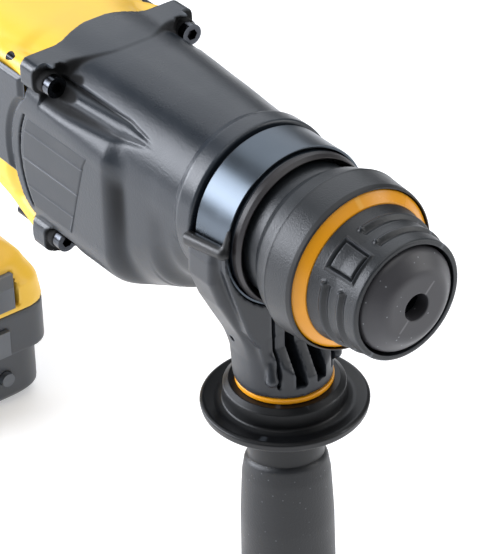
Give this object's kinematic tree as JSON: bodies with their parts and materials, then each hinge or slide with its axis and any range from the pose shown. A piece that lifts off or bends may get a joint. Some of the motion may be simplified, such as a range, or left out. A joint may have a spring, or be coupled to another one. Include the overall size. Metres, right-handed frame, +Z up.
{
  "type": "rotary hammer",
  "caption": "Cordless rotary hammer with a keyless round-shank chuck, pull-back locking sleeve, clamped side handle, hammer drive, pistol grip and slide-on battery.",
  "frame": {"origin": "centre of the mouth of the chuck bore, on the spindle axis", "axes": "+X along the spindle axis towards the bit, +Z up away from the battery, +Y to the left of a person holding the tool"},
  "size_m": [0.3901, 0.075, 0.2365],
  "materials": {
    "nylon_grey": "satin glass-filled nylon, fine grain",
    "sleeve_plastic": "fine textured moulded plastic",
    "rubber_black": "matt elastomer",
    "shell_yellow": "satin moulded ABS",
    "black_plastic": "moulded black plastic",
    "band_steel": "gloss black steel strip",
    "ground_steel": "ground and hardened steel",
    "gear_steel": "oiled case-hardened steel",
    "motor_lamination": "stacked steel laminations",
    "copper_winding": "enamelled copper wire",
    "bush_bronze": "sintered bronze",
    "frame_aluminium": "die cast",
    "lead_insulation": "silicone insulated wire",
    "led_clear": "clear polycarbonate",
    "circuit_board": "green solder mask on a glass-epoxy board",
    "cell_wrap": "heat-shrink sleeve on lithium cells"
  },
  "bodies": {
    "housing": {"gearcase": "nylon_grey", "gearcase_screws": "band_steel", "side_pad": "rubber_black", "front_bearing": "ground_steel", "spindle_seal": "rubber_black", "rear_bush": "bush_bronze", "inner_frame": "frame_aluminium", "intermediate_bearings": "ground_steel", "motor_bearings": "ground_steel", "stator_core": "motor_lamination", "stator_coils": "copper_winding", "motor_housing": "shell_yellow", "handle_left": "shell_yellow", "handle_right": "shell_yellow", "handle_screws": "band_steel", "grip_rubber": "rubber_black", "switch_module": "black_plastic", "control_module": "nylon_grey", "terminal_block": "black_plastic", "motor_leads": "lead_insulation", "foot_bezel": "black_plastic", "led_lens": "led_clear"},
    "spindle": {"spindle": "ground_steel", "dust_cap": "rubber_black", "locking_balls": "ground_steel", "spindle_gear": "gear_steel", "clutch_ring": "gear_steel", "clutch_spring": "ground_steel", "gear_circlip": "ground_steel"},
    "locking_sleeve": {"front_sleeve": "sleeve_plastic", "sleeve_ring": "shell_yellow", "rear_sleeve": "sleeve_plastic", "lock_ring": "ground_steel", "sleeve_spring": "ground_steel"},
    "impact_bolt": {"impact_bolt": "ground_steel"},
    "striker": {"striker": "ground_steel"},
    "piston": {"piston": "ground_steel"},
    "wobble_ring": {"wobble_ring": "gear_steel", "wobble_balls": "ground_steel"},
    "intermediate_shaft": {"intermediate_shaft": "ground_steel", "intermediate_gear": "gear_steel"},
    "rotor": {"rotor_shaft": "ground_steel", "rotor_core": "motor_lamination", "motor_fan": "black_plastic"},
    "side_handle": {"handle_band": "band_steel", "handle_yoke": "nylon_grey", "handle_bolt": "ground_steel"},
    "side_grip": {"side_grip": "rubber_black", "handle_nut": "ground_steel", "handle_ring": "shell_yellow"},
    "mode_selector": {"mode_selector": "shell_yellow"},
    "trigger": {"trigger": "black_plastic", "trigger_spring": "ground_steel"},
    "direction_bar": {"direction_bar": "black_plastic"},
    "battery": {"battery_top_case": "nylon_grey", "battery_bottom_case": "black_plastic", "battery_cells": "cell_wrap", "battery_board": "circuit_board"},
    "battery_latch": {"battery_latch": "black_plastic"},
    "gauge_button": {"gauge_button": "black_plastic"}
  },
  "joints": [
    {"name": "spindle_spin", "type": "hinge", "parent": "housing", "child": "spindle", "pos_m": [0, 0, 0], "axis": [1, 0, 0], "continuous": true},
    {"name": "sleeve_slide", "type": "slide", "parent": "spindle", "child": "locking_sleeve", "axis": [-1, 0, 0], "range_m": [0, 0.007], "stiffness_N_per_m": 1500, "springref_m": -0.004, "deforming": ["sleeve_spring"]},
    {"name": "impact_bolt_slide", "type": "slide", "parent": "spindle", "child": "impact_bolt", "axis": [-1, 0, 0], "range_m": [0, 0.003]},
    {"name": "striker_slide", "type": "slide", "parent": "spindle", "child": "striker", "axis": [1, 0, 0], "range_m": [-0.002, 0.0035]},
    {"name": "wobble_rock", "type": "hinge", "parent": "housing", "child": "wobble_ring", "pos_m": [-0.142, 0, -0.027], "axis": [0, 1, 0], "range_deg": [-15, 15]},
    {"name": "piston_slide", "type": "slide", "parent": "housing", "child": "piston", "axis": [1, 0, 0], "range_m": [-0.007, 0.007]},
    {"name": "intermediate_spin", "type": "hinge", "parent": "housing", "child": "intermediate_shaft", "pos_m": [0, 0, -0.027], "axis": [1, 0, 0], "continuous": true},
    {"name": "rotor_spin", "type": "hinge", "parent": "housing", "child": "rotor", "pos_m": [0, 0, -0.0081], "axis": [1, 0, 0], "continuous": true},
    {"name": "handle_swing", "type": "hinge", "parent": "housing", "child": "side_handle", "pos_m": [-0.0666, 0, 0], "axis": [1, 0, 0], "range_deg": [-180, 180]},
    {"name": "grip_twist", "type": "hinge", "parent": "side_handle", "child": "side_grip", "pos_m": [-0.0666, 0, -0.1], "axis": [0, 0, 1], "range_deg": [0, 360]},
    {"name": "selector_turn", "type": "hinge", "parent": "housing", "child": "mode_selector", "pos_m": [-0.135, 0.034, -0.012], "axis": [0, 1, 0], "range_deg": [0, 135]},
    {"name": "trigger_pull", "type": "slide", "parent": "housing", "child": "trigger", "axis": [-1, 0, 0], "range_m": [0, 0.007], "stiffness_N_per_m": 900, "springref_m": -0.003, "deforming": ["trigger_spring"]},
    {"name": "direction_shift", "type": "slide", "parent": "housing", "child": "direction_bar", "axis": [0, 1, 0], "range_m": [-0.003, 0.003]},
    {"name": "battery_slide", "type": "slide", "parent": "housing", "child": "battery", "axis": [1, 0, 0], "range_m": [0, 0.105]},
    {"name": "latch_press", "type": "slide", "parent": "battery", "child": "battery_latch", "axis": [-1, 0, 0], "range_m": [0, 0.0025], "stiffness_N_per_m": 800, "springref_m": -0.002},
    {"name": "gauge_press", "type": "slide", "parent": "battery", "child": "gauge_button", "axis": [-1, 0, 0], "range_m": [0, 0.0008], "stiffness_N_per_m": 600, "springref_m": -0.001}
  ],
  "couplings": [
    {"joint": "intermediate_spin", "follows": "spindle_spin", "ratio": -4},
    {"joint": "rotor_spin", "follows": "spindle_spin", "ratio": 17.6},
    {"joint": "wobble_rock", "follows": "piston_slide", "rad_per_m": 37.037}
  ]
}
